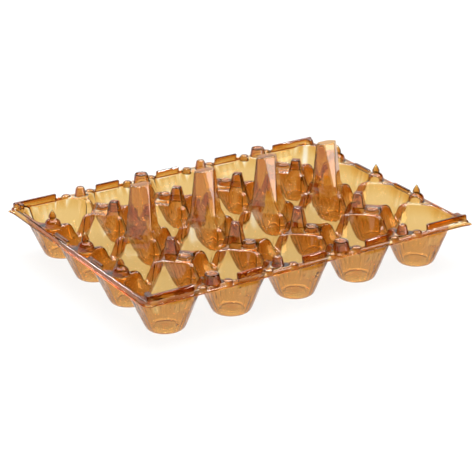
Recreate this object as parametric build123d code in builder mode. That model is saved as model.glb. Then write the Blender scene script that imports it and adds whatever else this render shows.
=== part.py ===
from build123d import *
import os
from math import cos, pi, sin, sqrt, tan

# Plastic egg tray for twenty eggs, formed in one piece from a thin clear sheet.
# Millimetres, +Z up, +X along the five cups. The origin is at the middle of the tray,
# on the surface that the cups stand on. Turned half a round about Z, the tray is the same.

# Grid of cups
PITCH = 48.0
COLUMNS = 5
ROWS = 4
WALL = 0.6

# Flange around the rim, with its edge turned down
RIM_HEIGHT = 31.4
RIM_REACH_X = 3.0
RIM_REACH_Y = 1.0
RIM_CORNER = 9.0
LIP_DROP = 2.5

# Cups: a round foot that turns into a square mouth with cut corners
FOOT_RADIUS = 11.4
SHOULDER_HEIGHT = 22.0
MOUTH_CLEARANCE = 1.0
EDGE_TRIM = 2.1
FLOOR_DISC_RADIUS = 8.8
FLOOR_DISC_RISE = 1.6

# Ridges between the cups: half their thickness, and the same from a crossing to a cup's corner
RIDGE_AT_SHOULDER = 4.0
RIDGE_AT_MOUTH = 1.7
CROSSING_AT_SHOULDER = 13.4
CROSSING_AT_MOUTH = 10.0
HIGH_CREST_RISE = 3.0

# Saddle in the middle of each ridge
SADDLE_DROP = 9.4
SADDLE_HALF_FLOOR = 1.9
SADDLE_SPREAD = 0.325
SADDLE_HALF_LENGTH = 10.0
SADDLE_SHOULDER = 2.6

# Tall posts on the middle crossings, square in plan and turned by 45 degrees
TALL_TOP = 67.9
TALL_HALF_TOP = 5.8
TALL_BEND_HEIGHT = 38.0
TALL_HALF_BEND = 8.6
TALL_HALF_ROOT = 9.9
TALL_FACE_TOP = 3.8
TALL_FACE_SPREAD = 0.28

# Short posts beside the other crossings: their near and far faces, from the crossing
SHORT_TOP = 43.7
SHORT_NEAR_TOP = 3.8
SHORT_FAR_TOP = 9.2
SHORT_NEAR_ROOT = 1.5
SHORT_FAR_ROOT = 9.8

# Round buttons on the other side of those crossings
CROSSING_BUTTON_RADIUS = 5.2
CROSSING_BUTTON_SHIFT_X = 1.5
CROSSING_BUTTON_SHIFT_Y = 4.9
LOW_CREST_BUTTON_RISE = 3.0
HIGH_CREST_BUTTON_RISE = 1.8

# Buttons on the flange, wide and narrow by turns
WIDE_BUTTON_RADIUS = 5.6
WIDE_BUTTON_RISE = 5.9
NARROW_BUTTON_RADIUS = 4.0
NARROW_BUTTON_RISE = 6.5
RIM_BUTTON_INSET = 6.2
BUTTON_TAPER = 0.1
DISH_EDGE = 0.9
DISH_DEPTH = 0.7

# Spikes on the short sides: a stub with a slim cone on it
SPIKE_INSET = 6.4
SPIKE_RADIUS = 5.3
SPIKE_STUB_RISE = 4.6
SPIKE_STUB_ROUND = 1.3
SPIKE_CONE_RADIUS = 2.75
SPIKE_TIP_RADIUS = 0.8
SPIKE_RISE = 11.0
SPIKE_TIP_WALLS = 3.0

# Raised bars on the flange, at the mouths of the outer cups
BAR_OUTER = 1.5
BAR_WIDTH = 2.6
BAR_RISE = 3.6
BAR_START = -8.0
BAR_END = 10.0
CORNER_BAR_START = 3.5
CORNER_BAR_END = 35.0
CORNER_RETURN_END = 9.0
SIDE_BAR_OUTER = 0.0
SIDE_BAR_WIDTH = 3.0
SIDE_BAR_RISE = 2.0
SIDE_BAR_HALF_LENGTH = 9.0

# Small forms: bevel of the posts and bars, and the sides of what is round
BEVEL = 0.7
ROUND_SIDES = 8
DISC_SIDES = 8

# Worked out from the sizes above
LENGTH = COLUMNS * PITCH
WIDTH = ROWS * PITCH
CORNER_DISTANCE = PITCH / sqrt(2)
SADDLE_HEIGHT = RIM_HEIGHT - SADDLE_DROP
HIGH_CREST = RIM_HEIGHT + HIGH_CREST_RISE
MOUTH_HEIGHT = HIGH_CREST + MOUTH_CLEARANCE
LIP_HEIGHT = RIM_HEIGHT - LIP_DROP
SADDLE_REACH = 2 * RIDGE_AT_SHOULDER
CUT_MARGIN = 2.0


def crossing(column, row):
    """Place of a crossing of two ridges. Columns and rows count from 0 at the flange."""
    return column * PITCH - LENGTH / 2, row * PITCH - WIDTH / 2


def crest(column, row):
    """Height of the ridges at a crossing. They are higher next to the short sides."""
    inside = 0 < row < ROWS
    return HIGH_CREST if inside and column in (1, COLUMNS - 1) else RIM_HEIGHT


def bevel_top(form):
    """Bevels the edges of a form's top face."""
    chamfer(form.faces().sort_by(Axis.Z)[-1].edges(), BEVEL)


def flat_sided(sections):
    """A closed form through outlines at given heights, with flat sides between them."""
    rings = [[(x, y, height) for x, y in outline] for height, outline in sections]
    faces = [Face(Wire.make_polygon(rings[0])), Face(Wire.make_polygon(rings[-1]))]
    for lower, upper in zip(rings, rings[1:]):
        for k in range(len(lower)):
            n = (k + 1) % len(lower)
            faces.append(Face(Wire.make_polygon([lower[k], lower[n], upper[n], upper[k]])))
    return Solid(Shell(faces))


def cup_outline(side, corner, trim):
    """Outline of a cup: a square with cut corners, whose eight edges are trimmed again."""
    along = corner * sqrt(2) - side
    slant = trim / sqrt(2)
    quarter = [
        (side, along - trim),
        (side - slant, along + slant),
        (along + slant, side - slant),
        (along - trim, side),
    ]
    points = []
    for _ in range(4):
        points += quarter
        quarter = [(-y, x) for x, y in quarter]
    return points


def round_outline(radius):
    """Outline with sixteen equal sides, which a cup has at its foot."""
    return cup_outline(radius, radius, radius * (tan(pi / 8) - tan(pi / 16)))


def cup_form(grow):
    """The room inside one cup. Grown by the wall, it is the outer form of the cup."""
    floor = WALL - grow
    shoulder_side = PITCH / 2 - RIDGE_AT_SHOULDER + grow
    shoulder_corner = CORNER_DISTANCE - CROSSING_AT_SHOULDER + grow
    mouth_side = PITCH / 2 - RIDGE_AT_MOUTH + grow
    mouth_corner = CORNER_DISTANCE - CROSSING_AT_MOUTH + grow
    sections = [
        (floor, round_outline(FOOT_RADIUS + grow / 2)),
        (SHOULDER_HEIGHT, cup_outline(shoulder_side, shoulder_corner, EDGE_TRIM)),
        (MOUTH_HEIGHT, cup_outline(mouth_side, mouth_corner, EDGE_TRIM)),
    ]
    room = flat_sided(sections)
    with BuildPart() as cup:
        add(room)
        with BuildSketch(Plane.XY.offset(floor)):
            RegularPolygon(FLOOR_DISC_RADIUS - grow, DISC_SIDES, rotation=180 / DISC_SIDES)
        extrude(amount=FLOOR_DISC_RISE, mode=Mode.SUBTRACT)
    return cup.part


def saddle_cut(plane, before, after, inset):
    """Cuts the saddle of one ridge, which has one crest height before it and one after it."""
    floor = SADDLE_HEIGHT - inset
    left = before - inset
    right = after - inset
    top = MOUTH_HEIGHT + CUT_MARGIN
    half_floor = SADDLE_HALF_FLOOR + inset * (sqrt(1 + SADDLE_SPREAD**2) - SADDLE_SPREAD)
    left_side = half_floor + SADDLE_SPREAD * (left - floor - SADDLE_SHOULDER)
    right_side = half_floor + SADDLE_SPREAD * (right - floor - SADDLE_SHOULDER)
    with BuildPart() as cut:
        with BuildSketch(plane):
            with BuildLine():
                Polyline(
                    (-SADDLE_HALF_LENGTH, top),
                    (-SADDLE_HALF_LENGTH, left),
                    (-left_side - SADDLE_SHOULDER, left),
                    (-left_side, left - SADDLE_SHOULDER),
                    (-half_floor, floor),
                    (half_floor, floor),
                    (right_side, right - SADDLE_SHOULDER),
                    (right_side + SADDLE_SHOULDER, right),
                    (SADDLE_HALF_LENGTH, right),
                    (SADDLE_HALF_LENGTH, top),
                    close=True,
                )
            make_face()
        extrude(amount=SADDLE_REACH, both=True)
    return cut.part


def saddle_cuts(inset):
    """All the saddles, in the ridges that run along X and then in those along Y."""
    cuts = []
    for row in range(1, ROWS):
        for column in range(COLUMNS):
            x, y = crossing(column + 0.5, row)
            plane = Plane(origin=(x, y, 0), x_dir=(1, 0, 0), z_dir=(0, -1, 0))
            cuts.append(saddle_cut(plane, crest(column, row), crest(column + 1, row), inset))
    for column in range(1, COLUMNS):
        for row in range(ROWS):
            x, y = crossing(column, row + 0.5)
            plane = Plane(origin=(x, y, 0), x_dir=(0, 1, 0), z_dir=(1, 0, 0))
            cuts.append(saddle_cut(plane, crest(column, row), crest(column, row + 1), inset))
    return cuts


def turned_square(near, far):
    """A square turned by 45 degrees, from near to far along both diagonals."""
    half = (far - near) / sqrt(2)
    middle = (far + near) / sqrt(2)
    return [(0, middle - half), (half, middle), (0, middle + half), (-half, middle)]


def tall_post(inset):
    """A tall post. Two flat faces, across Y, taper to a point near its foot."""
    sections = [
        (LIP_HEIGHT, TALL_HALF_ROOT),
        (TALL_BEND_HEIGHT, TALL_HALF_BEND),
        (TALL_TOP - inset, TALL_HALF_TOP),
    ]
    face_inset = inset * sqrt(1 + TALL_FACE_SPREAD**2)
    face_top = TALL_FACE_TOP - face_inset
    face_foot = face_top + TALL_FACE_SPREAD * (TALL_TOP - LIP_HEIGHT)
    square = flat_sided([(height, turned_square(inset - half, half - inset)) for height, half in sections])
    with BuildPart() as post:
        add(square)
        with BuildSketch(Plane.YZ):
            Polygon(
                (-face_foot, LIP_HEIGHT),
                (face_foot, LIP_HEIGHT),
                (face_top, TALL_TOP),
                (-face_top, TALL_TOP),
                align=None,
            )
        extrude(amount=2 * TALL_HALF_ROOT, both=True, mode=Mode.INTERSECT)
        if inset == 0:
            bevel_top(post)
    return post.part


def short_post(inset):
    """A short post, set off from its crossing toward the middle of the tray."""
    sections = [
        (LIP_HEIGHT, SHORT_NEAR_ROOT, SHORT_FAR_ROOT),
        (SHORT_TOP - inset, SHORT_NEAR_TOP, SHORT_FAR_TOP),
    ]
    outlines = [(height, turned_square(near + inset, far - inset)) for height, near, far in sections]
    square = flat_sided(outlines)
    with BuildPart() as post:
        add(square)
        if inset == 0:
            bevel_top(post)
    return post.part


def round_stack(sections):
    """An upright round form through radii at given heights, many-sided in plan."""
    turns = [2 * pi * (k + 0.5) / ROUND_SIDES for k in range(ROUND_SIDES)]
    outlines = [(height, [(radius * cos(a), radius * sin(a)) for a in turns]) for height, radius in sections]
    return flat_sided(outlines)


def button(base, rise, radius, dished, inset):
    """A round button, dished on top or plain, standing on a crest or on the flange."""
    top = base + rise
    top_radius = radius - BUTTON_TAPER * (top - LIP_HEIGHT)
    dish_radius = top_radius - DISH_EDGE
    if inset > 0:
        return round_stack([(LIP_HEIGHT, radius - inset), (top - DISH_DEPTH - inset, top_radius - inset)])
    body = round_stack([(LIP_HEIGHT, radius), (top, top_radius)])
    if not dished:
        return body
    dish = round_stack([(top - DISH_DEPTH, dish_radius - DISH_DEPTH), (top, dish_radius)])
    with BuildPart() as form:
        add(body)
        add(dish, mode=Mode.SUBTRACT)
    return form.part


def spike(inset):
    """A pointed stud for a short side. Its hollow ends three walls below the tip."""
    stub_top = RIM_HEIGHT + SPIKE_STUB_RISE - inset
    stub_edge = stub_top - SPIKE_STUB_ROUND
    slope = (SPIKE_CONE_RADIUS - SPIKE_TIP_RADIUS) / (SPIKE_RISE - SPIKE_STUB_RISE)
    tip_drop = SPIKE_TIP_WALLS * inset
    return round_stack(
        [
            (LIP_HEIGHT, SPIKE_RADIUS - inset),
            (stub_edge, SPIKE_RADIUS - BUTTON_TAPER * (stub_edge - LIP_HEIGHT) - inset),
            (stub_top, SPIKE_CONE_RADIUS - inset),
            (RIM_HEIGHT + SPIKE_RISE - tip_drop, SPIKE_TIP_RADIUS + slope * tip_drop - inset),
        ]
    )


def bar(start, end, outer, width, rise, inset):
    """A raised bar along X, set in by its outer distance from the edge of the outer cups' cells."""
    foot = SADDLE_HEIGHT - WALL
    top = RIM_HEIGHT + rise - inset
    with BuildPart() as form:
        with BuildSketch(Plane.XY.offset(foot)):
            with Locations(((start + end) / 2, outer + width / 2)):
                Rectangle(end - start - 2 * inset, width - 2 * inset)
        extrude(amount=top - foot)
        if inset == 0:
            bevel_top(form)
    return form.part


def corner_bars(inset):
    """The bars that meet at a corner of the tray: a long one on X and its short return on Y."""
    long_bar = bar(CORNER_BAR_START, CORNER_BAR_END, BAR_OUTER, BAR_WIDTH, BAR_RISE, inset)
    return_bar = bar(BAR_OUTER, CORNER_RETURN_END, CORNER_BAR_START, BAR_WIDTH, BAR_RISE, inset)
    with BuildPart() as corner:
        add(long_bar)
        add(return_bar.mirror(Plane(origin=(0, 0, 0), z_dir=(1, -1, 0))))
    return corner.part


def front_features(inset):
    """What stands on the front half. Turned half a round, it makes the back half too."""
    short = short_post(inset)
    wide = button(RIM_HEIGHT, WIDE_BUTTON_RISE, WIDE_BUTTON_RADIUS, True, inset)
    narrow = button(RIM_HEIGHT, NARROW_BUTTON_RISE, NARROW_BUTTON_RADIUS, False, inset)
    on_low_crest = button(RIM_HEIGHT, LOW_CREST_BUTTON_RISE, CROSSING_BUTTON_RADIUS, True, inset)
    on_high_crest = button(HIGH_CREST, HIGH_CREST_BUTTON_RISE, CROSSING_BUTTON_RADIUS, True, inset)
    pointed = spike(inset)
    front_bar = bar(BAR_START, BAR_END, BAR_OUTER, BAR_WIDTH, BAR_RISE, inset)
    side_bar = bar(
        -SIDE_BAR_HALF_LENGTH, SIDE_BAR_HALF_LENGTH, SIDE_BAR_OUTER, SIDE_BAR_WIDTH, SIDE_BAR_RISE, inset
    )
    left_corner = corner_bars(inset)
    right_corner = left_corner.mirror(Plane.YZ)
    left, front = crossing(0, 0)
    columns = range(1, COLUMNS)
    with BuildPart() as features:
        with Locations(*[crossing(column, 1) for column in columns]):
            add(short)
        for high, form in ((False, on_low_crest), (True, on_high_crest)):
            chosen = [crossing(column, 1) for column in columns if (crest(column, 1) > RIM_HEIGHT) == high]
            with Locations(*[(x + CROSSING_BUTTON_SHIFT_X, y - CROSSING_BUTTON_SHIFT_Y) for x, y in chosen]):
                add(form)
        for remainder, form in ((1, wide), (0, narrow)):
            chosen = [crossing(column, 0)[0] for column in columns if column % 2 == remainder]
            with Locations(*[(x, front + RIM_BUTTON_INSET) for x in chosen]):
                add(form)
        with Locations(*[(crossing(column + 0.5, 0)[0], front) for column in range(1, COLUMNS - 1)]):
            add(front_bar)
        with Locations(*[(left + SPIKE_INSET, crossing(0, row)[1]) for row in range(1, ROWS)]):
            add(pointed)
        side_rows = [crossing(0, row + 0.5)[1] for row in range(1, ROWS - 1)]
        with Locations(*[Location((left, y, 0), (0, 0, -90)) for y in side_rows]):
            add(side_bar)
        with Locations((left, front)):
            add(left_corner)
        with Locations((-left, front)):
            add(right_corner)
    return features.part


def tray_form(inset):
    """The tray as a solid block with all its forms, drawn in by the inset all over."""
    cups = cup_form(inset)
    saddles = saddle_cuts(inset)
    post = tall_post(inset)
    features = front_features(inset)
    foot = -CUT_MARGIN - inset
    flange_x = LENGTH + 2 * (RIM_REACH_X - inset)
    flange_y = WIDTH + 2 * (RIM_REACH_Y - inset)
    with BuildPart() as block:
        with BuildSketch(Plane.XY.offset(foot)):
            RectangleRounded(flange_x, flange_y, RIM_CORNER - inset)
        extrude(amount=RIM_HEIGHT - inset - foot)
        for column in (1, COLUMNS - 1):
            with BuildSketch(Plane.XY.offset(SADDLE_HEIGHT)):
                with Locations(crossing(column, ROWS / 2)):
                    Rectangle(PITCH, WIDTH - PITCH)
            extrude(amount=HIGH_CREST - inset - SADDLE_HEIGHT)
        if inset > 0:
            with BuildSketch(Plane.XY.offset(foot)):
                Rectangle(flange_x + PITCH, flange_y + PITCH)
            extrude(amount=LIP_HEIGHT - foot)
        add(saddles, mode=Mode.SUBTRACT)
        with GridLocations(PITCH, PITCH, COLUMNS, ROWS):
            add(cups, mode=Mode.SUBTRACT)
        with Locations(*[crossing(column, ROWS / 2) for column in range(1, COLUMNS)]):
            add(post)
        with PolarLocations(0, 2):
            add(features)
    return block.part


top_form = tray_form(0)
under_form = tray_form(WALL)
with BuildPart() as egg_tray:
    add(top_form)
    add(under_form, mode=Mode.SUBTRACT)
egg_tray.part.label = "egg_tray"

os.makedirs("parts", exist_ok=True)
export_step(egg_tray.part, "parts/egg_tray.step")
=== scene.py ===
"""A clear amber egg tray, made as one thin formed sheet, on a white studio floor."""
import math

import bmesh
import bpy
from bpy.props import FloatProperty, IntProperty, PointerProperty, StringProperty
from bpy.types import Operator, Panel, PropertyGroup
from mathutils import Matrix, Vector


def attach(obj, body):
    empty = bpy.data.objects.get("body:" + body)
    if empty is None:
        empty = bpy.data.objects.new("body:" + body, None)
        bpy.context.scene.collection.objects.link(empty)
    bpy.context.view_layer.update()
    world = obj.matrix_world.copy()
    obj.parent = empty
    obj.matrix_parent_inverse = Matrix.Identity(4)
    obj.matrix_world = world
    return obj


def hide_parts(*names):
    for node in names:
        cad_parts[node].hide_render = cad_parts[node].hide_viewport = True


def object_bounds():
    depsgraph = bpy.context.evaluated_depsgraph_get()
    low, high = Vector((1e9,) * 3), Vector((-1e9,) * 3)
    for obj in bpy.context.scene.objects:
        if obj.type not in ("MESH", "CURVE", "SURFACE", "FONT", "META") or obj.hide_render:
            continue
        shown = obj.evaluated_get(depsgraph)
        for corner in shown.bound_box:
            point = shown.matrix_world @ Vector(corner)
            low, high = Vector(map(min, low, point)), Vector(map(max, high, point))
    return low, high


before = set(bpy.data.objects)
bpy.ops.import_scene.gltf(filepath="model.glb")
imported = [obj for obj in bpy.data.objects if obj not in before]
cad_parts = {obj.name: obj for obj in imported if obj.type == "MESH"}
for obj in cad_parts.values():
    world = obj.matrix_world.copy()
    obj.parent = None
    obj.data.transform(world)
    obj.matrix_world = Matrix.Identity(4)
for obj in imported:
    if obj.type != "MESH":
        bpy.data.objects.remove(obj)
CAD_LOW, CAD_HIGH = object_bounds()

bl_info = {
    "name": "Egg tray",
    "version": (1, 0, 0),
    "blender": (4, 5, 0),
    "location": "3D View > Sidebar > Egg tray",
    "description": "Makes a thin formed plastic egg tray and its studio",
    "category": "Object",
}

MM = 0.001
NODE = "egg_tray"
TRAY_LENGTH = (CAD_HIGH[0] - CAD_LOW[0]) / MM
TRAY_WIDTH = (CAD_HIGH[1] - CAD_LOW[1]) / MM
TRAY_TOP = CAD_HIGH[2] / MM

# Half widths of a cup against height: to its sides and to its cut corners, in mm
SIDE_HALF = (
    (0.0, 10.4), (1.4, 12.1), (3.2, 13.0), (10.0, 15.7), (22.0, 20.0), (31.0, 21.9), (36.0, 22.5),
)
CORNER_HALF = (
    (0.0, 10.4), (1.4, 12.1), (3.2, 13.0), (10.0, 15.8), (22.0, 20.5), (31.0, 23.2), (36.0, 24.1),
)
# A cup is round up to one height and square with cut corners this much above it, and its sides and
# cut corners blend over this much of its reach, all in mm
ROUND_UP_TO = 2.0
SQUARE_ABOVE = 20.0
CORNER_BLEND = 1.7
# Floor of a cup from its middle outwards: radius and height of its upper face, in mm
FLOOR_PROFILE = ((6.7, 2.1), (7.4, 1.9), (7.8, 1.1), (8.4, 0.55), (10.0, 0.45), (11.3, 0.8))
# Heights of the points on the bowl's wall, and where the ridges' part of the wall starts
WALL_RINGS = (1.6, 3.4, 5.4, 10.5, 15.0, 17.2)
JOIN_HEIGHT = 19.0
BOWL_SIDES = 96
# The flutes start at one height and take these distances to reach their depth and to fade out
FLUTE_START = 1.4
FLUTE_RISE = 1.8
FLUTE_FADE = 2.2
# Places along half a ridge where the sheet is divided, from the saddle to the crossing, in mm
RIDGE_DIVISIONS = (0.0, 1.1, 1.9, 2.6, 3.3, 4.1, 5.0, 6.0, 7.3, 9.2, 12.5, 17.5, 24.0)
# More of them where the flange turns a corner
CORNER_DIVISIONS = (19.4, 20.6, 21.4, 22.0, 22.5, 23.0, 23.5)
# A ridge's saddle: height and half length of its floor, how far it widens for each mm of height,
# and the rounds at its foot and its shoulders
SADDLE_FLOOR = 22.0
SADDLE_HALF_FLOOR = 1.9
SADDLE_SPREAD = 0.325
SADDLE_FOOT_ROUND = 1.5
SADDLE_SHOULDER_ROUND = 3.6
# Round of the edge between a cup's wall and the ridge's top
RIDGE_ROUND = 1.3
# Distance from the flange's outline at which its edge starts to bend down
RIM_BEND = 2.4
# The flange's edge from its bend outwards: distance from the outline and drop, in mm
LIP_PROFILE = (
    (-2.3, 0.0),
    (-1.83, -0.35),
    (-1.62, -1.75),
    (-1.15, -2.22),
    (-0.45, -2.3),
    (0.0, -2.8),
)
# The two opposite corners of the flange that are drawn out to a lug: their radius, how far they are
# drawn out along X and Y, and how far from the corner that starts
LUG_RADIUS = 3.2
LUG_REACH = (1.9, 1.3)
LUG_SPREAD = 9.0
# Bottom of the skirt that closes the form while the studs are united with it
SKIRT_BOTTOM = -8.0
# A post's root on the cups' cut corners and its foot on the ridges: half width and height
POST_ROOT = (14.0, 20.0)
POST_FOOT = (11.3, 31.2)
# Tall post: height of its bend, half widths there and at its top, and half the width of its flat
# front face at both
TALL_BEND = 38.0
TALL_HALF_BEND = 8.6
TALL_HALF_TOP = 5.8
TALL_FACE_BEND = 1.3
TALL_FACE_TOP = 4.4
# Short post: height of its top, and distances from the crossing to its near face at root, foot and
# top and to its far face at the top
SHORT_TOP = 43.7
SHORT_NEAR = (-0.5, 1.2, 3.6)
SHORT_FAR_TOP = 9.3
# Round of the edges of tall posts, short posts and bars
TALL_EDGE = 0.8
SHORT_EDGE = 0.9
BAR_EDGE = 0.7
# Round studs reach this far down into the sheet, and at their foot they flare out by this much and
# stand this little above the sheet
STUD_DEPTH = 3.0
STUD_FLARE = 0.5
STUD_LIFT = 0.02
# Round studs: rise above the sheet and radius
WIDE_BUTTON = (5.9, 5.5)
NARROW_BUTTON = (6.5, 3.9)
LOW_BUMP = (0.9, 2.8)
LOW_CROSSING_BUTTON = (3.0, 4.9)
HIGH_CROSSING_BUTTON = (1.8, 4.9)
SPIKE_RADIUS = 5.3
# Place of a crossing's button beside it, and distances of the rim's studs from the outermost
# crossings: buttons and spikes inwards, low bumps inwards and to both sides
CROSSING_BUTTON_PLACE = (1.5, -4.9)
BUTTON_INSET = 6.2
SPIKE_INSET = 6.4
BUMP_INSET = 2.5
BUMP_STEP = 9.2
# Bars on the flange: their width, the heights of their root and of the ledge they stand on, and how
# far those of the long and the short sides stand in from the outline
BAR_WIDTH = 2.4
BAR_ROOT = 26.5
BAR_LEDGE = 28.9
LONG_SIDE_INSET = 1.5
SHORT_SIDE_INSET = 0.2
# How far a bar's inner face stands in from its top, at its root and at the ledge
BAR_BACK_ROOT = 1.8
BAR_BACK_LEDGE = 1.0
# Bars of the long and the short sides: rise, and how far their outer face leans out at the ledge
LONG_SIDE_BAR = (3.6, 0.8)
SHORT_SIDE_BAR = (2.0, 0.6)
# Ends of the bars along their side: from the middle of a cup, and from the crossing at a corner
FRONT_BAR_ENDS = (-8, 10)
SIDE_BAR_ENDS = (-9, 9)
NEAR_CORNER_ENDS = (-0.5, 33.0)
FAR_CORNER_ENDS = (-1.0, 31.0)
# The return of a corner's bar: its distance from the bar's end, its width and how far in it reaches
RETURN_START = 2.0
RETURN_WIDTH = 3.4
RETURN_END = 9.0
# Of the thickness that the cups lose, the share that is kept away from the flange, against height in
# mm: half on the ridges, none at the tall posts' bend, most on the short posts' tops, less above
KEPT_INSIDE = (
    (0.0, 0.5), (35.9, 0.5), (36.1, 0.0), (40.9, 0.0), (41.1, 0.8), (47.0, 0.8), (60.0, 0.0),
)
# The thickness grows from the cups' to the flange's between two heights, and between two distances
# from the outline: each pair is where it starts and how long it takes
KEPT_FROM = 26.0
KEPT_RISE = 4.0
KEPT_EDGE = 10.0
KEPT_EDGE_FADE = 3.0
# Edges sharper than this stay sharp in the sheet
SHARP_ANGLE = math.radians(38)

# Lamps: name, place and size in metres, power in watts
LAMPS = (
    ("softbox", (0.1, 0.25, 1.25), (1.5, 1.5), 32.0),
    ("spark", (0.15, 0.45, 1.15), (0.22, 0.22), 4.0),
    ("window", (0.72, -1.02, 0.12), (0.44, 0.18), 1.4),
    ("back_strip", (0.55, 1.5, 1.25), (2.2, 0.12), 14.0),
    ("front_strip", (0.61, -0.49, 1.04), (1.4, 0.05), 6.0),
)
# Dark glowing cards around the tray that only the sheet's gloss and refraction show; they paint dark
# reflections and dark outlines on its edges and bends: name, place, direction that they face, width and
# height in metres
PAINTED_REFLECTION_CARDS = (
    ("left_flag", (-2, 0, 1.3), (1, 0, 0), 4.4, 1.8),
    ("right_flag", (2, 0, 1.3), (-1, 0, 0), 4.4, 1.8),
    ("front_flag", (0, -2, 1.3), (0, 1, 0), 4.4, 1.8),
    ("back_flag", (0, 1.9, 2.0), (0, -1, 0), 4.4, 1.7),
    ("roof_flag", (0, 0, 2.2), (0, 0, -1), 4.4, 4.4),
    ("near_flag", (0.1, -0.285, 0.001), (0, 0, 1), 0.8, 0.33),
)
FLOOR_HALF = 3.0
FLOOR_HEIGHT = -0.0002


class TraySettings(PropertyGroup):
    """Sizes and colour of the tray that can be set"""

    pitch: FloatProperty(
        name="Cup pitch", description="Distance between cups", default=48 * MM, unit="LENGTH"
    )
    columns: IntProperty(name="Columns", description="Cups along the long side", default=5, min=2)
    rows: IntProperty(name="Rows", description="Cups along the short side", default=4, min=2)
    rim_height: FloatProperty(
        name="Rim height", description="Top of the flange", default=31.4 * MM, unit="LENGTH"
    )
    high_crest: FloatProperty(
        name="High crest",
        description="Top of the ridges next to the short sides",
        default=34.4 * MM,
        unit="LENGTH",
    )
    rim_corner: FloatProperty(
        name="Rim corner", description="Radius of the flange's corners", default=5.5 * MM, unit="LENGTH"
    )
    sheet: FloatProperty(
        name="Sheet", description="Thickness of the flange", default=0.85 * MM, unit="LENGTH"
    )
    drawn: FloatProperty(
        name="Drawn", description="Share of it left in the cups", default=0.55, subtype="FACTOR"
    )
    flutes: IntProperty(name="Flutes", description="Upright flutes around a cup", default=24, min=8)
    flute_depth: FloatProperty(
        name="Flute depth", description="Depth of the flutes", default=0.55 * MM, unit="LENGTH"
    )
    amber_depth: FloatProperty(
        name="Amber depth", description="How fast the sheet takes up light, per metre", default=3400.0
    )
    amber: StringProperty(
        name="Amber", description="Colour that the sheet lets through, as sRGB hex", default="EECD00"
    )


def settings():
    """The tray's settings in the open scene."""
    return bpy.context.scene.egg_tray


def along(table, value):
    """Reads a table of (place, size) pairs at a value between its places."""
    for (low, first), (high, second) in zip(table, table[1:]):
        if value <= high:
            return first + (second - first) * (value - low) / (high - low)
    return table[-1][1]


def soft_min(a, b, blend):
    """The lesser of two numbers, with a rounded change from one to the other."""
    near = max(blend - abs(a - b), 0.0) / blend
    return min(a, b) - near * near * blend / 4


def cup_reach(angle, height):
    """Distance from a cup's axis to its wall, in a direction and at a height."""
    side = along(SIDE_HALF, height)
    corner = along(CORNER_HALF, height)
    off = (angle + math.pi / 4) % (math.pi / 2) - math.pi / 4
    to_side = side / math.cos(off)
    to_corner = corner / math.cos(math.pi / 4 - abs(off))
    square = min(max((height - ROUND_UP_TO) / SQUARE_ABOVE, 0.0), 1.0)
    return (side + corner) / 2 * (1 - square) + soft_min(to_side, to_corner, CORNER_BLEND) * square


def flute_depth(angle, height):
    """How far the upright flutes of a cup's wall stand in."""
    tray = settings()
    steepness = 1.5
    rise = min(max((height - FLUTE_START) / FLUTE_RISE, 0.0), 1.0)
    fall = min(max((WALL_RINGS[-1] - height) / FLUTE_FADE, 0.0), 1.0)
    groove = max(0.0, steepness * math.cos(tray.flutes * angle) - (steepness - 1))
    return tray.flute_depth / MM * rise * fall * groove


def saddle_height(place, crest):
    """Height of a ridge at a place along it, measured from the middle of its saddle."""
    low = SADDLE_FOOT_ROUND
    high = SADDLE_SHOULDER_ROUND
    lean = math.atan(1 / SADDLE_SPREAD)
    tangent = math.tan(lean / 2)
    place = abs(place)
    foot = SADDLE_HALF_FLOOR - low * tangent
    shoulder = SADDLE_HALF_FLOOR + SADDLE_SPREAD * (crest - SADDLE_FLOOR) + high * tangent
    if place <= foot:
        return SADDLE_FLOOR
    if place >= shoulder:
        return crest
    if place < foot + low * math.sin(lean):
        return SADDLE_FLOOR + low - math.sqrt(low**2 - (place - foot) ** 2)
    if place > shoulder - high * math.sin(lean):
        return crest - high + math.sqrt(high**2 - (shoulder - place) ** 2)
    return SADDLE_FLOOR + (place - SADDLE_HALF_FLOOR) / SADDLE_SPREAD


def rim_distance(x, y):
    """Distance of a place in the plan from the flange's outline, negative inside."""
    corner = LUG_RADIUS if x * y < 0 else settings().rim_corner / MM
    over_x = abs(x) - TRAY_LENGTH / 2 + corner
    over_y = abs(y) - TRAY_WIDTH / 2 + corner
    return math.hypot(max(over_x, 0.0), max(over_y, 0.0)) + min(max(over_x, over_y), 0.0) - corner


def with_lug(x, y):
    """A place on the flange's edge, drawn out where it is near a corner with a lug."""
    away = math.hypot(TRAY_LENGTH / 2 - abs(x), TRAY_WIDTH / 2 - abs(y))
    share = max(1 - away / LUG_SPREAD, 0.0) ** 2 if x * y < 0 else 0.0
    return x + math.copysign(share * LUG_REACH[0], x), y + math.copysign(share * LUG_REACH[1], y)


def rim_outward(x, y):
    """Direction in the plan that leads straight out over the flange's edge."""
    step = 0.01
    dx = rim_distance(x + step, y) - rim_distance(x - step, y)
    dy = rim_distance(x, y + step) - rim_distance(x, y - step)
    size = math.hypot(dx, dy)
    return dx / size, dy / size


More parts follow.
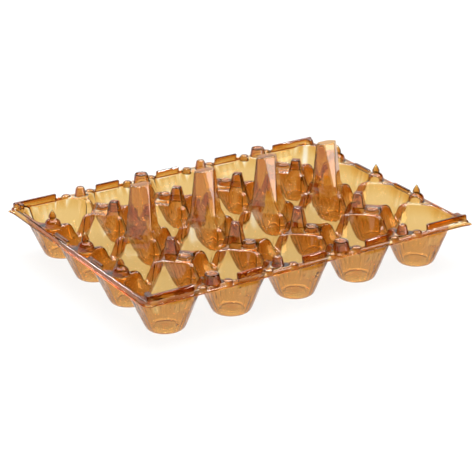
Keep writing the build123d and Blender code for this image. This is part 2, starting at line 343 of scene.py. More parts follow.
class Cell:
    """One cup with its share of the ridges and the flange around it."""

    def __init__(self, column, row):
        tray = settings()
        self.column = column
        self.row = row
        self.half = tray.pitch / MM / 2
        self.x = (2 * column + 1 - tray.columns) * self.half
        self.y = (2 * row + 1 - tray.rows) * self.half

    def crest(self, right, back):
        """Height of the crossing at one of the cell's corners."""
        tray = settings()
        inside = 0 < self.row + back < tray.rows
        high = inside and self.column + right in (1, tray.columns - 1)
        return (tray.high_crest if high else tray.rim_height) / MM

    def top_height(self, x, y):
        """Height of the ridges and the flange around the cup, at a place in the cell."""
        tray = settings()
        crest = self.crest(x > 0, y > 0)
        if abs(x) > abs(y):
            on_rim = self.column == (tray.columns - 1 if x > 0 else 0)
            place = y
        else:
            on_rim = self.row == (tray.rows - 1 if y > 0 else 0)
            place = x
        return tray.rim_height / MM if on_rim else saddle_height(place, crest)

    def limit(self, dx, dy):
        """Distance from the cup's axis to the edge of the cell, or to the bend of the flange."""
        tolerance = 1e-6
        halvings = 40
        reach = self.half / max(abs(dx), abs(dy))
        if rim_distance(self.x + dx * reach, self.y + dy * reach) <= tolerance - RIM_BEND:
            return reach
        low = 0.0
        high = reach
        for _ in range(halvings):
            middle = (low + high) / 2
            if rim_distance(self.x + dx * middle, self.y + dy * middle) < -RIM_BEND:
                low = middle
            else:
                high = middle
        return low

    def edge(self, angle, dx, dy):
        """Radius and height at which the cup's wall meets the top of the ridge."""
        rounds = 30
        height = self.top_height(dx, dy)
        for _ in range(rounds):
            reach = cup_reach(angle, height)
            height += (self.top_height(reach * dx, reach * dy) - height) / 2
        return cup_reach(angle, height), height


def ridge_angles(cell):
    """Directions from a cup's axis to the divisions of its ridges, from -45 degrees on."""
    tiny = 1e-9
    half = RIDGE_DIVISIONS[-1]
    eighth = [math.atan2(place, half) for place in RIDGE_DIVISIONS]
    quarter = [-a for a in reversed(eighth[1:])] + eighth[:-1]
    angles = {a + turn * math.pi / 2 for turn in range(4) for a in quarter}
    tray = settings()
    if cell.column in (0, tray.columns - 1) and cell.row in (0, tray.rows - 1):
        corner = math.atan2(1 if cell.row else -1, 1 if cell.column else -1)
        for place in CORNER_DIVISIONS:
            off = math.pi / 4 - math.atan2(place, half)
            angles |= {corner - off, corner + off}
    start = -math.pi / 4
    turns = {(a - start + tiny) % (2 * math.pi) - tiny for a in angles}
    return sorted(start + a for a in turns)


def bowl_angles():
    """Directions around a bowl, from the middle of a cut corner on."""
    return [2 * math.pi * (k / BOWL_SIDES - 1 / 8) for k in range(BOWL_SIDES)]


def add_ring(bm, points):
    """New vertices at points in mm."""
    return [bm.verts.new((x * MM, y * MM, z * MM)) for x, y, z in points]


def bridge(bm, inner, outer):
    """Quads between two closed rings of as many points."""
    for k in range(len(inner)):
        n = (k + 1) % len(inner)
        bm.faces.new((inner[k], outer[k], outer[n], inner[n]))


def stitch(bm, inner, inner_angles, outer, outer_angles):
    """Triangles between two closed rings that start together but have other divisions."""
    inner_at = list(inner_angles) + [inner_angles[0] + 2 * math.pi]
    outer_at = list(outer_angles) + [outer_angles[0] + 2 * math.pi]
    i = 0
    o = 0
    while i < len(inner) or o < len(outer):
        a = inner[i % len(inner)]
        b = outer[o % len(outer)]
        if o == len(outer) or (i < len(inner) and inner_at[i + 1] <= outer_at[o + 1]):
            i += 1
            bm.faces.new((a, b, inner[i % len(inner)]))
        else:
            o += 1
            bm.faces.new((a, b, outer[o % len(outer)]))


def new_mesh(bm, name):
    """A mesh from mesh data that is then freed."""
    mesh = bpy.data.meshes.new(name)
    bm.to_mesh(mesh)
    bm.free()
    return mesh


def new_object(name, data):
    """An object with this mesh, lamp or camera, in the open scene."""
    obj = bpy.data.objects.new(name, data)
    bpy.context.scene.collection.objects.link(obj)
    return obj


def round_points(radii, angles, height, x=0.0, y=0.0):
    """Points around an axis at one height, at a radius for each direction."""
    return [(x + r * math.cos(a), y + r * math.sin(a), height) for r, a in zip(radii, angles)]


def bowl_mesh():
    """The lower part of a cup: its raised floor disc, rounded heel and fluted wall."""
    bm = bmesh.new()
    angles = bowl_angles()
    rings = []
    for radius, height in FLOOR_PROFILE:
        rings.append(add_ring(bm, round_points([radius] * BOWL_SIDES, angles, height)))
    for height in WALL_RINGS:
        reaches = [cup_reach(a, height) - flute_depth(a, height) for a in angles]
        rings.append(add_ring(bm, round_points(reaches, angles, height)))
    middle = add_ring(bm, [(0, 0, FLOOR_PROFILE[0][1])])[0]
    for k in range(BOWL_SIDES):
        bm.faces.new((middle, rings[0][k], rings[0][(k + 1) % BOWL_SIDES]))
    for inner, outer in zip(rings, rings[1:]):
        bridge(bm, inner, outer)
    return new_mesh(bm, "bowl")


def on_bend(start, corner, end, t):
    """A point on the smooth bend from start to end that rounds off a corner."""
    weights = ((1 - t) ** 2, 2 * t * (1 - t), t * t)
    return tuple(weights[0] * start[k] + weights[1] * corner[k] + weights[2] * end[k] for k in (0, 1))


def add_web(bm, cell):
    """The upper wall, ridges and flange of one cell, from the bowl's joint outwards."""
    least_wall = 0.8
    first_step = 0.35
    rays = []
    web_angles = ridge_angles(cell)
    for a in web_angles:
        dx = math.cos(a)
        dy = math.sin(a)
        limit = cell.limit(dx, dy)
        edge, height = cell.edge(a, dx, dy)
        below = max(height - RIDGE_ROUND, JOIN_HEIGHT + least_wall)
        beyond = min(edge + RIDGE_ROUND, (edge + limit) / 2)
        step = JOIN_HEIGHT + (below - JOIN_HEIGHT) * first_step
        start = (cup_reach(a, below), below)
        end = (beyond, cell.top_height(dx * beyond, dy * beyond))
        profile = [(cup_reach(a, JOIN_HEIGHT), JOIN_HEIGHT), (cup_reach(a, step), step), start]
        profile += [on_bend(start, (edge, height), end, t) for t in (1 / 3, 2 / 3)]
        profile.append(end)
        profile.append((limit, cell.top_height(dx * limit, dy * limit)))
        rays.append([(cell.x + dx * r, cell.y + dy * r, z) for r, z in profile])
    rings = [add_ring(bm, [ray[k] for ray in rays]) for k in range(len(rays[0]))]
    for inner, outer in zip(rings, rings[1:]):
        bridge(bm, inner, outer)
    angles = bowl_angles()
    height = WALL_RINGS[-1]
    reaches = [cup_reach(a, height) for a in angles]
    foot = add_ring(bm, round_points(reaches, angles, height, cell.x, cell.y))
    stitch(bm, foot, angles, rings[0], web_angles)


def open_loop(bm, above):
    """The open edge of the mesh above a height, as vertices in order."""
    edges = [e for e in bm.edges if e.is_boundary and min(v.co.z for v in e.verts) > above * MM]
    after = {}
    for edge in edges:
        first, second = edge.verts
        loop = edge.link_loops[0]
        if loop.vert == first:
            after[first] = second
        else:
            after[second] = first
    start = next(iter(after))
    order = [start]
    while after[order[-1]] != start:
        order.append(after[order[-1]])
    if len(order) != len(edges):
        raise RuntimeError("the flange's edge isn't one closed loop")
    return order


def add_lip(bm):
    """The flange's edge: a step down, a narrow ledge and a short lip. Gives the lip's lower edge."""
    loop = open_loop(bm, SADDLE_FLOOR)
    top = settings().rim_height / MM
    for across, drop in LIP_PROFILE:
        ring = []
        for vert in loop:
            x = vert.co.x / MM
            y = vert.co.y / MM
            dx, dy = rim_outward(x, y)
            out = across - rim_distance(x, y)
            edge_x, edge_y = with_lug(x + dx * out, y + dy * out)
            ring.append(bm.verts.new((edge_x * MM, edge_y * MM, (top + drop) * MM)))
        for k in range(len(loop)):
            n = (k + 1) % len(loop)
            bm.faces.new((loop[n], loop[k], ring[k], ring[n]))
        loop = ring
    return loop


def close_below(bm, loop):
    """Closes the form with a skirt and a bottom, which are cut away again after the union."""
    low = [bm.verts.new((v.co.x, v.co.y, SKIRT_BOTTOM * MM)) for v in loop]
    for k in range(len(loop)):
        n = (k + 1) % len(loop)
        face = bm.faces.new((loop[n], loop[k], low[k], low[n]))
        face.material_index = 1
    bm.faces.new(low).material_index = 1


def add_node(tree, kind, values=None, links=None, **options):
    """Adds one node, sets its options and socket values, and links its inputs."""
    node = tree.nodes.new(kind)
    for key, value in options.items():
        setattr(node, key, value)
    for key, value in (values or {}).items():
        node.inputs[key].default_value = value
    for key, socket in (links or {}).items():
        tree.links.new(socket, node.inputs[key])
    return node


def grid_tree(name):
    """Geometry Nodes that stand a form at each point of a mesh and make the copies real."""
    tree = bpy.data.node_groups.new(name, "GeometryNodeTree")
    tree.is_modifier = True
    tree.interface.new_socket("Points", in_out="INPUT", socket_type="NodeSocketGeometry")
    tree.interface.new_socket("Form", in_out="INPUT", socket_type="NodeSocketObject")
    tree.interface.new_socket("Finish", in_out="INPUT", socket_type="NodeSocketMaterial")
    tree.interface.new_socket("Copies", in_out="OUTPUT", socket_type="NodeSocketGeometry")
    source = add_node(tree, "NodeGroupInput")
    form = add_node(tree, "GeometryNodeObjectInfo", links={"Object": source.outputs["Form"]})
    turn = add_node(tree, "GeometryNodeInputNamedAttribute", values={"Name": "turn"})
    spin = add_node(tree, "ShaderNodeCombineXYZ", links={"Z": turn.outputs["Attribute"]})
    copies = add_node(
        tree,
        "GeometryNodeInstanceOnPoints",
        links={
            "Points": source.outputs["Points"],
            "Instance": form.outputs["Geometry"],
            "Rotation": spin.outputs[0],
        },
    )
    real = add_node(tree, "GeometryNodeRealizeInstances", links={"Geometry": copies.outputs[0]})
    finish = add_node(
        tree,
        "GeometryNodeSetMaterial",
        links={"Geometry": real.outputs[0], "Material": source.outputs["Finish"]},
    )
    add_node(tree, "NodeGroupOutput", links={"Copies": finish.outputs[0]})
    return tree


def repeat(name, mesh, places, finish):
    """Copies of a mesh as one mesh, at places in the plan, each (x, y, turn) in mm and degrees."""
    points = bpy.data.meshes.new(name + "_places")
    points.from_pydata([(x * MM, y * MM, 0) for x, y, _ in places], [], [])
    turns = points.attributes.new("turn", "FLOAT", "POINT")
    turns.data.foreach_set("value", [math.radians(turn) for _, _, turn in places])
    form = new_object(name + "_form", mesh)
    host = new_object(name, points)
    tree = grid_tree(name + "_repeat")
    modifier = host.modifiers.new("repeat", "NODES")
    modifier.node_group = tree
    inputs = [item for item in tree.interface.items_tree if item.in_out == "INPUT"]
    sockets = {item.name: item.identifier for item in inputs}
    modifier[sockets["Form"]] = form
    modifier[sockets["Finish"]] = finish
    bpy.context.view_layer.update()
    graph = bpy.context.evaluated_depsgraph_get()
    real = bpy.data.meshes.new_from_object(host.evaluated_get(graph))
    bpy.data.objects.remove(host)
    bpy.data.objects.remove(form)
    return real


def srgb(text):
    """Linear colour from sRGB hex digits."""
    parts = [int(text[k : k + 2], 16) / 255 for k in (0, 2, 4)]
    return [c / 12.92 if c <= 0.04045 else ((c + 0.055) / 1.055) ** 2.4 for c in parts] + [1.0]


def clear_amber_sheet():
    """Clear amber PET sheet, vacuum formed.

    The rolled sheet is glossy on both sides and tinted all through, so it is deeper in colour where
    light passes more of it: at the bends, the edges and the upright walls. Where the mould stretched
    it, its surface has faint long waves and a trace of haze.
    """
    # The waves are about a fifth of a cup's pitch long and shallow enough to show only in the gloss
    wave_length = 9 * MM
    wave_height = 0.15 * MM
    most_haze = 0.03
    refraction = 1.57
    tray = settings()
    material = bpy.data.materials.new("amber_pet_sheet")
    material.use_nodes = True
    tree = material.node_tree
    tree.nodes.clear()
    place = add_node(tree, "ShaderNodeTexCoord")
    waves = add_node(
        tree,
        "ShaderNodeTexNoise",
        values={"Scale": 1 / wave_length, "Detail": 2.0, "Roughness": 0.5},
        links={"Vector": place.outputs["Object"]},
    )
    haze = add_node(
        tree,
        "ShaderNodeMapRange",
        values={"From Min": 0.35, "From Max": 0.7, "To Min": 0.0, "To Max": most_haze},
        links={"Value": waves.outputs["Fac"]},
    )
    bump = add_node(
        tree,
        "ShaderNodeBump",
        values={"Strength": 0.35, "Distance": wave_height},
        links={"Height": waves.outputs["Fac"]},
    )
    surface = add_node(
        tree,
        "ShaderNodeBsdfPrincipled",
        values={"Base Color": (1, 1, 1, 1), "IOR": refraction, "Transmission Weight": 1.0},
        links={"Roughness": haze.outputs["Result"], "Normal": bump.outputs["Normal"]},
    )
    tint = add_node(
        tree,
        "ShaderNodeVolumeAbsorption",
        values={"Color": srgb(tray.amber), "Density": tray.amber_depth},
    )
    add_node(
        tree,
        "ShaderNodeOutputMaterial",
        links={"Surface": surface.outputs[0], "Volume": tint.outputs[0]},
    )
    return material


def crossing(column, row):
    """Place of a crossing of two ridges. Columns and rows count from 0 at the flange."""
    tray = settings()
    pitch = tray.pitch / MM
    return column * pitch - tray.columns * pitch / 2, row * pitch - tray.rows * pitch / 2


def rounded(name, bm, radius, steps):
    """Rounds the sharp edges of a solid with a bevel and gives its mesh."""
    flat_below = math.radians(20)
    bmesh.ops.recalc_face_normals(bm, faces=bm.faces)
    obj = new_object(name, new_mesh(bm, name))
    bevel = obj.modifiers.new("round", "BEVEL")
    bevel.width = radius * MM
    bevel.segments = steps
    bevel.limit_method = "ANGLE"
    bevel.angle_limit = flat_below
    graph = bpy.context.evaluated_depsgraph_get()
    mesh = bpy.data.meshes.new_from_object(obj.evaluated_get(graph))
    bpy.data.objects.remove(obj)
    return mesh


def diamond(half, height):
    """Corners of a square turned by 45 degrees, with this distance to its sides."""
    reach = half * math.sqrt(2)
    return [(reach, 0, height), (0, reach, height), (-reach, 0, height), (0, -reach, height)]


def six_corners(half, face, height):
    """Corners of a turned square whose front and back corners are cut off to a flat face."""
    point = half * math.sqrt(2)
    place = point - face
    corners = [
        (point, 0), (face, place), (-face, place), (-point, 0), (-face, -place), (face, -place),
    ]
    return [(x, y, height) for x, y in corners]


def tall_post_mesh():
    """A tall post. It flows out of the cups' cut corners and has two flat faces that taper down."""
    bm = bmesh.new()
    root = add_ring(bm, diamond(*POST_ROOT))
    foot = add_ring(bm, diamond(*POST_FOOT))
    bend = add_ring(bm, six_corners(TALL_HALF_BEND, TALL_FACE_BEND, TALL_BEND))
    top = add_ring(bm, six_corners(TALL_HALF_TOP, TALL_FACE_TOP, TRAY_TOP))
    bridge(bm, root, foot)
    bridge(bm, bend, top)
    for turn in (0, 1):
        side, corner, other = (foot[(k + 2 * turn) % 4] for k in (0, 1, 2))
        right, near_right, near_left, left = (bend[(k + 3 * turn) % 6] for k in (0, 1, 2, 3))
        bm.faces.new((side, corner, near_right, right))
        bm.faces.new((corner, near_left, near_right))
        bm.faces.new((corner, other, left, near_left))
    bm.faces.new(top)
    bm.faces.new(root)
    return rounded("tall_post", bm, TALL_EDGE, steps=2)


def short_post_mesh():
    """A short post beside a crossing, its outer faces in line with the cups' cut corners."""
    bm = bmesh.new()
    rings = []
    levels = ((POST_ROOT[1], POST_ROOT[0]), (POST_FOOT[1], POST_FOOT[0]), (SHORT_TOP, SHORT_FAR_TOP))
    for (height, far), near in zip(levels, SHORT_NEAR):
        half = (far - near) / math.sqrt(2)
        middle = (far + near) / math.sqrt(2)
        plan = ((half, middle), (0, middle + half), (-half, middle), (0, middle - half))
        rings.append(add_ring(bm, [(x, y, height) for x, y in plan]))
    bridge(bm, rings[0], rings[1])
    bridge(bm, rings[1], rings[2])
    bm.faces.new(rings[2])
    bm.faces.new(rings[0])
    return rounded("short_post", bm, SHORT_EDGE, steps=2)


def turned_mesh(name, profile, sides=28):
    """A solid of revolution from radii and heights, from the foot to the middle of the top."""
    bm = bmesh.new()
    turns = [2 * math.pi * k / sides for k in range(sides)]
    rings = [add_ring(bm, round_points([r] * sides, turns, z)) for r, z in profile[:-1]]
    for lower, upper in zip(rings, rings[1:]):
        bridge(bm, lower, upper)
    tip = add_ring(bm, [(0, 0, profile[-1][1])])[0]
    for k in range(sides):
        bm.faces.new((rings[-1][k], tip, rings[-1][(k + 1) % sides]))
    bm.faces.new(rings[0])
    bmesh.ops.recalc_face_normals(bm, faces=bm.faces)
    return new_mesh(bm, name)


def stud_foot(radius, base):
    """The part of a stud that reaches down into the sheet, and its flare on the sheet."""
    return [(radius + STUD_FLARE, base - STUD_DEPTH), (radius + STUD_FLARE, base + STUD_LIFT)]


def dished_button(name, base, rise, radius):
    """A round button with a dished top and a small round at its foot."""
    taper = 0.12
    top = base + rise
    rim = radius - taper * rise
    return turned_mesh(
        name,
        [
            *stud_foot(radius, base),
            (radius, base + 0.6),
            (rim, top - 0.7),
            (rim - 0.5, top),
            (rim - 1.15, top - 0.1),
            (rim - 1.9, top - 0.85),
            (0, top - 0.9),
        ],
    )


def domed_button(name, base, rise, radius):
    """A narrow button with a rounded top."""
    top = base + rise
    return turned_mesh(
        name,
        [
            *stud_foot(radius, base),
            (radius, base + 0.1 * rise),
            (radius - 0.13 * rise, top - 0.2 * rise),
            (radius - 0.17 * rise - 0.4, top - 0.07 * rise),
            (0.35 * radius, top),
            (0, top),
        ],
    )


def spike_mesh(base):
    """A pointed stud: a domed stub, a waist, and a tip that bulges and comes to a point."""
    return turned_mesh(
        "spike",
        [
            *stud_foot(SPIKE_RADIUS, base),
            (5.4, base + 0.6),
            (5.3, base + 2.6),
            (4.8, base + 3.9),
            (3.9, base + 4.9),
            (2.8, base + 5.5),
            (2.0, base + 5.9),
            (2.7, base + 7.1),
            (2.2, base + 8.6),
            (1.2, base + 10.4),
            (0.4, base + 11.7),
            (0, base + 12.0),
        ],
        sides=22,
    )


def bar_mesh(name, outline, rise, spread):
    """A raised bar on the flange from its outline in the plan, whose outer face leans in."""
    top = settings().rim_height / MM + rise
    outer = min(y for _, y in outline)
    inner = outer + BAR_WIDTH
    root_spread = 0.7 * spread
    bm = bmesh.new()
    rings = []
    levels = (
        (BAR_ROOT, root_spread, BAR_BACK_ROOT),
        (BAR_LEDGE, spread, BAR_BACK_LEDGE),
        (top, 0.0, 0.0),
    )
    for height, out, back in levels:
        shift = {outer: -out, inner: -back}
        rings.append(add_ring(bm, [(x, y + shift.get(y, 0.0), height) for x, y in outline]))
    bridge(bm, rings[0], rings[1])
    bridge(bm, rings[1], rings[2])
    bm.faces.new(rings[2])
    bm.faces.new(rings[0])
    return rounded(name, bm, BAR_EDGE, steps=1)


def straight_outline(start, end, inset):
    """Outline of a straight bar along X."""
    return [(start, inset), (end, inset), (end, inset + BAR_WIDTH), (start, inset + BAR_WIDTH)]


def corner_outline(start, end):
    """Outline of a bar along X with a short return along Y near its start."""
    outside = LONG_SIDE_INSET
    inside = LONG_SIDE_INSET + BAR_WIDTH
    near = start + RETURN_START
    far = near + RETURN_WIDTH
    return [
        (start, outside),
        (end, outside),
        (end, inside),
        (far, inside),
        (far, RETURN_END),
        (near, RETURN_END),
        (near, inside),
        (start, inside),
    ]


def half_turn(places):
    """Places on the front half, and the same places turned half a round onto the back half."""
    return places + [(-x, -y, turn + 180) for x, y, turn in places]


def post_places(tray):
    """Tall and short posts and the buttons beside them: name, mesh and places of each kind."""
    rim = tray.rim_height / MM
    high = tray.high_crest / MM
    inner = range(1, tray.columns)
    middle = tray.rows // 2
    high_columns = [c for c in inner if c in (1, tray.columns - 1)]
    low_columns = [c for c in inner if c not in high_columns]
    first = [crossing(c, 1) for c in inner]
    kinds = [
        ("tall_posts", tall_post_mesh(), [(*crossing(c, middle), 0) for c in inner]),
        ("short_posts", short_post_mesh(), half_turn([(x, y, 0) for x, y in first])),
    ]
    across, back = CROSSING_BUTTON_PLACE
    levels = ((low_columns, rim, LOW_CROSSING_BUTTON), (high_columns, high, HIGH_CROSSING_BUTTON))
    for columns, base, size in levels:
        crossings = [crossing(c, 1) for c in columns]
        places = half_turn([(x + across, y + back, 0) for x, y in crossings])
        kinds.append(("crossing_buttons", dished_button("crossing_button", base, *size), places))
    return kinds


def rim_places(tray):
    """Buttons, bumps and spikes on the flange: name, mesh and places of each kind."""
    rim = tray.rim_height / MM
    inner = range(1, tray.columns)
    left, front = crossing(0, 0)
    across = [crossing(c, 0)[0] for c in inner]
    steps = (-BUMP_STEP, BUMP_STEP)
    wide = [(x, front + BUTTON_INSET, 0) for c, x in zip(inner, across) if c % 2]
    narrow = [(x, front + BUTTON_INSET, 0) for c, x in zip(inner, across) if not c % 2]
    beside = [(x + step, front + BUMP_INSET, 0) for x in across for step in steps]
    sides = [(left + SPIKE_INSET, crossing(0, r)[1], 0) for r in range(1, tray.rows)]
    return [
        ("wide_buttons", dished_button("wide_button", rim, *WIDE_BUTTON), half_turn(wide)),
        ("narrow_buttons", domed_button("narrow_button", rim, *NARROW_BUTTON), half_turn(narrow)),
        ("low_bumps", domed_button("low_bump", rim, *LOW_BUMP), half_turn(beside)),
        ("spikes", spike_mesh(rim), half_turn(sides)),
    ]


def bar_places(tray):
    """The bars on the flange: name, mesh and places of each kind."""
    left, front = crossing(0, 0)
    front_bars = [(crossing(c + 0.5, 0)[0], front, 0) for c in range(1, tray.columns - 1)]
    side_bars = [(left, crossing(0, r + 0.5)[1], -90) for r in range(1, tray.rows - 1)]
    front_bar = straight_outline(*FRONT_BAR_ENDS, LONG_SIDE_INSET)
    side_bar = straight_outline(*SIDE_BAR_ENDS, SHORT_SIDE_INSET)
    near_corner = corner_outline(*NEAR_CORNER_ENDS)
    far_corner = [(-x, y) for x, y in reversed(corner_outline(*FAR_CORNER_ENDS))]
    return [
        ("front_bars", bar_mesh("front_bar", front_bar, *LONG_SIDE_BAR), half_turn(front_bars)),
        ("side_bars", bar_mesh("side_bar", side_bar, *SHORT_SIDE_BAR), half_turn(side_bars)),
        (
            "corner_bars",
            bar_mesh("corner_bar", near_corner, *LONG_SIDE_BAR),
            half_turn([(left, front, 0)]),
        ),
        (
            "far_corner_bars",
            bar_mesh("far_corner_bar", far_corner, *LONG_SIDE_BAR),
            half_turn([(-left, front, 0)]),
        ),
    ]


def stud_meshes(finish):
    """Every post, button, spike and bar of the tray, as solids that reach down into the sheet."""
    tray = settings()
    kinds = post_places(tray) + rim_places(tray) + bar_places(tray)
    return [repeat(name, mesh, places, finish) for name, mesh, places in kinds]


def joined(meshes):
    """The vertices and faces of several meshes together, all with the first material."""
    bm = bmesh.new()
    for mesh in meshes:
        bm.from_mesh(mesh)
    for face in bm.faces:
        face.material_index = 0
    return bm


def kept_thickness(place):
    """Share of the thickness at a place: all of it in the flange, less where the sheet was drawn."""
    drawn = settings().drawn
    x, y, z = (c / MM for c in place)
    level = min(max((z - KEPT_FROM) / KEPT_RISE, 0.0), 1.0)
    near_edge = min(max((rim_distance(x, y) + KEPT_EDGE) / KEPT_EDGE_FADE, 0.0), 1.0)
    inside = along(KEPT_INSIDE, z)
    return drawn + (1 - drawn) * level * max(near_edge, inside)


def apply_modifiers(obj):
    """Gives an object the mesh that its modifiers make of it."""
    bpy.context.view_layer.update()
    graph = bpy.context.evaluated_depsgraph_get()
    mesh = bpy.data.meshes.new_from_object(obj.evaluated_get(graph))
    obj.modifiers.clear()
    obj.data = mesh


def formed_surface(tray, finish):
    """The sheet's upper side up to the flange's lip, closed below, and still without its studs."""
    merge = 0.01 * MM
    cells = [Cell(column, row) for row in range(tray.rows) for column in range(tray.columns)]
    bowls = repeat("bowls", bowl_mesh(), [(cell.x, cell.y, 0) for cell in cells], finish)
    bm = joined([bowls])
    for cell in cells:
        add_web(bm, cell)
    bmesh.ops.remove_doubles(bm, verts=bm.verts, dist=merge)
    close_below(bm, add_lip(bm))
    bmesh.ops.recalc_face_normals(bm, faces=bm.faces)
    sheet = new_object("egg_tray_sheet", new_mesh(bm, "egg_tray_sheet"))
    sheet.data.materials.append(finish)
    sheet.data.materials.append(bpy.data.materials.new("closing"))
    return sheet


def add_studs(sheet, finish):
    """Unites the sheet's form with its studs and takes the skirt and the bottom away again."""
    studs = new_object("studs", new_mesh(joined(stud_meshes(finish)), "studs"))
    union = sheet.modifiers.new("studs", "BOOLEAN")
    union.operation = "UNION"
    union.solver = "EXACT"
    union.object = studs
    apply_modifiers(sheet)
    bpy.data.objects.remove(studs)
    bm = bmesh.new()
    bm.from_mesh(sheet.data)
    bmesh.ops.delete(bm, geom=[f for f in bm.faces if f.material_index == 1], context="FACES")
    bm.to_mesh(sheet.data)
    bm.free()
    sheet.data.materials.pop(index=1)


def thicken(sheet, thickness):
    """Gives the surface its wall, thick in the flange and thinner where it was drawn."""
    kept = sheet.vertex_groups.new(name="kept_thickness")
    for vert in sheet.data.vertices:
        kept.add([vert.index], kept_thickness(vert.co), "REPLACE")
    sheet.data.shade_smooth()
    sheet.data.set_sharp_from_angle(angle=SHARP_ANGLE)
    wall = sheet.modifiers.new("wall", "SOLIDIFY")
    wall.thickness = thickness
    wall.offset = -1.0
    wall.use_even_offset = True
    wall.thickness_clamp = 1.0
    wall.vertex_group = kept.name
    flat = sheet.modifiers.new("flat_faces", "WEIGHTED_NORMAL")
    flat.keep_sharp = True
    apply_modifiers(sheet)


class EGGTRAY_OT_sheet(Operator):
    """Makes the tray as one formed sheet: cups, ridges, flange, posts, buttons, spikes and bars"""

    bl_idname = "eggtray.sheet"
    bl_label = "Formed sheet"

    def execute(self, context):
        tray = settings()
        finish = clear_amber_sheet()
        sheet = formed_surface(tray, finish)
        add_studs(sheet, finish)
        thicken(sheet, tray.sheet)
        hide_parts(NODE)
        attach(sheet, "root")
        return {"FINISHED"}


class EGGTRAY_OT_stage(Operator):
    """Makes the floor, the lamps, the dark cards that paint dark reflections and outlines in the sheet,
    and the camera
    """

    bl_idname = "eggtray.stage"
    bl_label = "Studio"

    def execute(self, context):
        scene = context.scene
        floor = flat_panel("floor", 2 * FLOOR_HALF, 2 * FLOOR_HALF, FLOOR_HEIGHT)
        floor.data.materials.append(floor_paint())
        for lamp in LAMPS:
            add_lamp(*lamp)
        # Dark glowing cards seen only in the sheet's gloss and refraction: painted dark reflections and
        # outlines
        for card in PAINTED_REFLECTION_CARDS:
            add_painted_reflection_card(*card)
        world_light(scene)
        add_camera(scene)
        scene.view_settings.view_transform = "Standard"
        # Light passes many walls of the clear tray before it is used up
        scene.cycles.max_bounces = 40
        scene.cycles.transmission_bounces = 36
        scene.cycles.glossy_bounces = 8
        scene.cycles.diffuse_bounces = 3
        return {"FINISHED"}


def flat_panel(name, width, height, level=0.0):
    """A flat rectangle around the origin, in metres."""
    bm = bmesh.new()
    x = width / 2
    y = height / 2
    bm.faces.new([bm.verts.new((*place, level)) for place in ((-x, -y), (x, -y), (x, y), (-x, y))])
    return new_object(name, new_mesh(bm, name))


def floor_paint():
    """Matt white painted studio floor: most of it is plain white, and the rest takes a soft shadow."""
    plain_share = 0.88
    material = bpy.data.materials.new("white_studio_floor")
    material.use_nodes = True
    tree = material.node_tree
    tree.nodes.clear()
    paint = add_node(tree, "ShaderNodeBsdfDiffuse", values={"Color": srgb("FAFAFA")})
    glow = add_node(tree, "ShaderNodeEmission", values={"Color": (1, 1, 1, 1), "Strength": 1.0})
    share = add_node(
        tree,
        "ShaderNodeMath",
        operation="MULTIPLY",
        values={1: plain_share},
        links={0: seen_directly(tree)},
    )
    mix = add_node(
        tree,
        "ShaderNodeMixShader",
        links={0: share.outputs[0], 1: paint.outputs[0], 2: glow.outputs[0]},
    )
    add_node(tree, "ShaderNodeOutputMaterial", links={"Surface": mix.outputs[0]})
    return material


def seen_directly(tree):
    """1 for camera, glossy and transmission rays, which see the backdrop as plain white."""
    path = add_node(tree, "ShaderNodeLightPath")
    mirrored = add_node(
        tree,
        "ShaderNodeMath",
        operation="MAXIMUM",
        links={0: path.outputs["Is Glossy Ray"], 1: path.outputs["Is Transmission Ray"]},
    )
    seen = add_node(
        tree,
        "ShaderNodeMath",
        operation="MAXIMUM",
        links={0: path.outputs["Is Camera Ray"], 1: mirrored.outputs[0]},
    )
    return seen.outputs[0]


def painted_reflection_paint():
    """Painted reflection: a dark red-brown card that glows dimly. The glossy sheet mirrors and bends
    it, which paints dark outlines on its edges.
    """
    material = bpy.data.materials.new("painted_dark_reflection")
    material.use_nodes = True
    tree = material.node_tree
    tree.nodes.clear()
    # Dim dark red-brown glow, though it is no lamp: it paints the dark reflections and outlines in the
    # sheet
    painted_dark_glow = add_node(tree, "ShaderNodeEmission", values={"Color": srgb("4A2222"), "Strength": 1.0})
    add_node(tree, "ShaderNodeOutputMaterial", links={"Surface": painted_dark_glow.outputs[0]})
    return material


def add_painted_reflection_card(name, place, facing, width, height):
    """A dark glowing card that only the sheet's gloss and refraction show, as a painted reflection. The
    camera sees past it and it casts no shadow.
    """
    card = flat_panel(name, width, height)
    card.data.materials.append(painted_reflection_paint())
    turn = Vector(facing).to_track_quat("Z", "Y").to_matrix().to_4x4()
    card.data.transform(Matrix.Translation(Vector(place)) @ turn)
    for kind in ("camera", "diffuse", "volume_scatter", "shadow"):
        setattr(card, "visible_" + kind, False)


def add_lamp(name, place, size, power):
    """A soft lamp of the given width and height that looks at the tray."""
    data = bpy.data.lights.new(name, "AREA")
    data.shape = "RECTANGLE"
    data.size, data.size_y = size
    data.energy = power
    lamp = new_object(name, data)
    lamp.location = place
    lamp.rotation_euler = (-Vector(place)).to_track_quat("-Z", "Y").to_euler()
    lamp.visible_camera = False


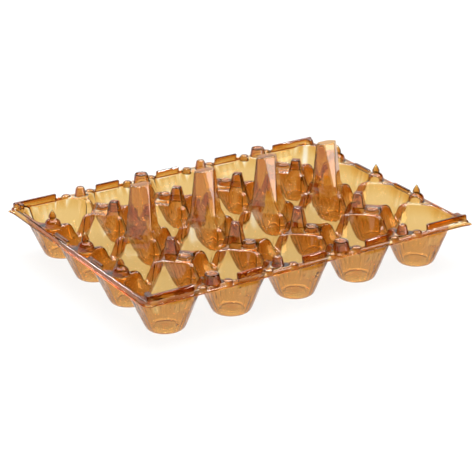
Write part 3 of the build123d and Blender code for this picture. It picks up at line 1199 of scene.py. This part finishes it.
def world_light(scene):
    """Plain white where it is seen, and dim as a light on the floor."""
    dimmed = 0.15
    world = bpy.data.worlds.new("studio")
    world.use_nodes = True
    tree = world.node_tree
    tree.nodes.clear()
    dim = add_node(tree, "ShaderNodeBackground", values={"Color": (1, 1, 1, 1), "Strength": dimmed})
    white = add_node(tree, "ShaderNodeBackground", values={"Color": (1, 1, 1, 1), "Strength": 1.0})
    mix = add_node(
        tree,
        "ShaderNodeMixShader",
        links={0: seen_directly(tree), 1: dim.outputs[0], 2: white.outputs[0]},
    )
    add_node(tree, "ShaderNodeOutputWorld", links={"Surface": mix.outputs[0]})
    scene.world = world


def add_camera(scene):
    """The camera of the photograph, fitted to the regular grid of cups and posts."""
    azimuth = math.radians(-30.705)
    elevation = math.radians(22.353)
    roll = math.radians(-1.148)
    field = math.radians(13.893)
    distance = 1.2762
    target = Vector((-0.01985, -0.03438, 0.030))
    level = math.cos(elevation)
    back = Vector((math.sin(azimuth) * level, -math.cos(azimuth) * level, math.sin(elevation)))
    right = (-back).cross(Vector((0, 0, 1))).normalized()
    up = right.cross(-back)
    across = right * math.cos(roll) + up * math.sin(roll)
    above = up * math.cos(roll) - right * math.sin(roll)
    data = bpy.data.cameras.new("camera")
    data.angle = field
    data.clip_end = 20
    camera = new_object("camera", data)
    turn = Matrix((across, above, back)).transposed().to_4x4()
    camera.matrix_world = Matrix.Translation(target + back * distance) @ turn
    scene.camera = camera


class EGGTRAY_PT_panel(Panel):
    """Shows the tray's settings and a button for each operator"""

    bl_label = "Egg tray"
    bl_space_type = "VIEW_3D"
    bl_region_type = "UI"
    bl_category = "Egg tray"

    def draw(self, context):
        for name in TraySettings.__annotations__:
            self.layout.prop(settings(), name)
        for kind in OPERATORS:
            self.layout.operator(kind.bl_idname)


OPERATORS = (EGGTRAY_OT_sheet, EGGTRAY_OT_stage)
CLASSES = (TraySettings, *OPERATORS, EGGTRAY_PT_panel)


def register():
    """Adds the settings, the operators and the panel to Blender."""
    for kind in CLASSES:
        bpy.utils.register_class(kind)
    bpy.types.Scene.egg_tray = PointerProperty(type=TraySettings)


def unregister():
    """Takes them away again."""
    del bpy.types.Scene.egg_tray
    for kind in reversed(CLASSES):
        bpy.utils.unregister_class(kind)


def main():
    """Makes the tray and its studio."""
    register()
    bpy.ops.eggtray.sheet()
    bpy.ops.eggtray.stage()


if __name__ == "__main__":
    main()
